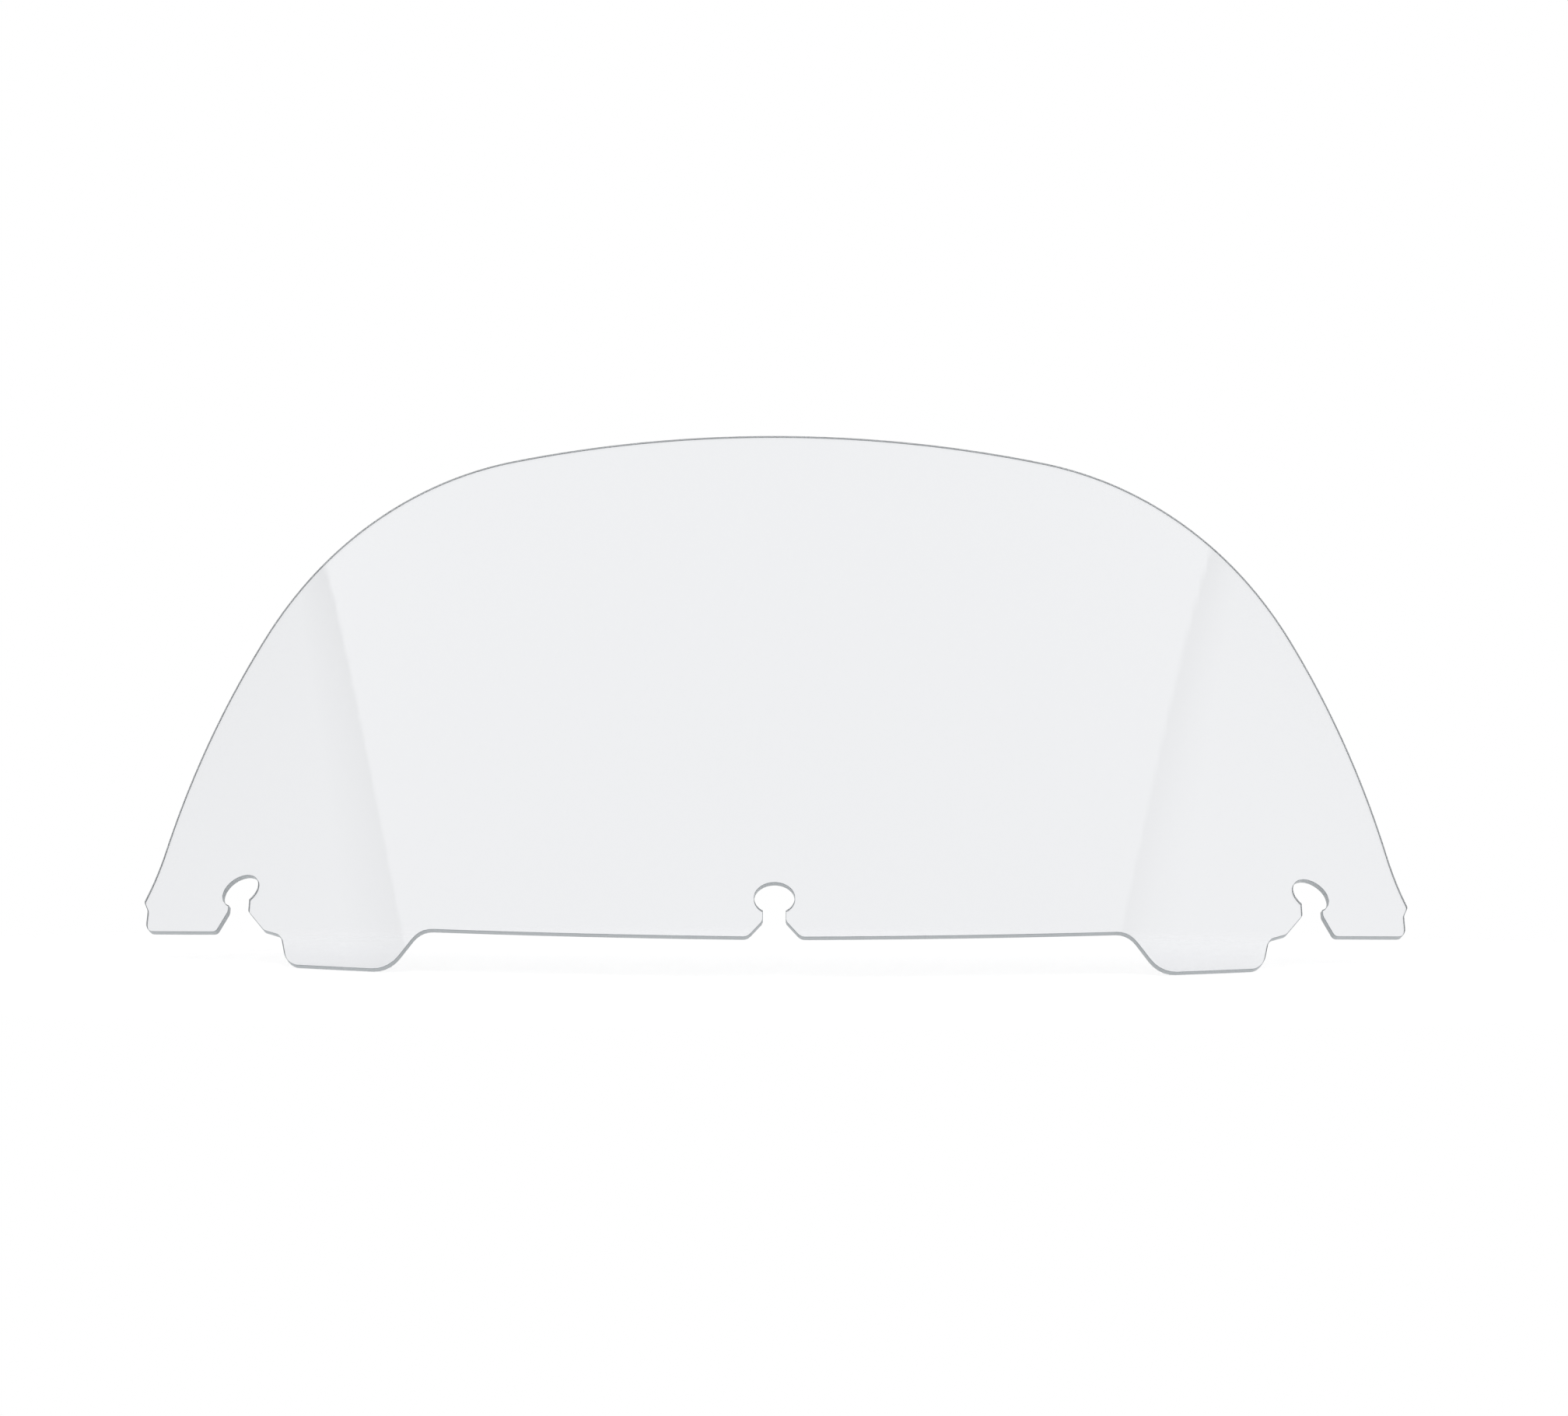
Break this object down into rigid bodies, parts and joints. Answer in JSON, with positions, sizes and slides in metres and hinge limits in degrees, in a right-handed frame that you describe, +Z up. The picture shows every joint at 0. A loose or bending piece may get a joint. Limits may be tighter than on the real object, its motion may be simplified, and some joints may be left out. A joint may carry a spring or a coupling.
{
  "type": "windshield screen",
  "caption": "Clear raked fairing windshield of formed sheet, with a domed top edge, swept sides, hanging lobes and keyhole slots along its bottom edge.",
  "frame": {"origin": "on the axis of the middle keyhole's round pocket, halfway through the sheet", "axes": "+X across the screen, left to right seen from the front; +Y back, away from the front face; +Z up, with the front face raked 45 degrees"},
  "size_m": [0.6106, 0.2583, 0.2515],
  "materials": {
    "clear_polycarbonate": "clear, polished faces with routed matt edges"
  },
  "bodies": {
    "root": {"windshield_screen": "clear_polycarbonate"}
  },
  "joints": []
}
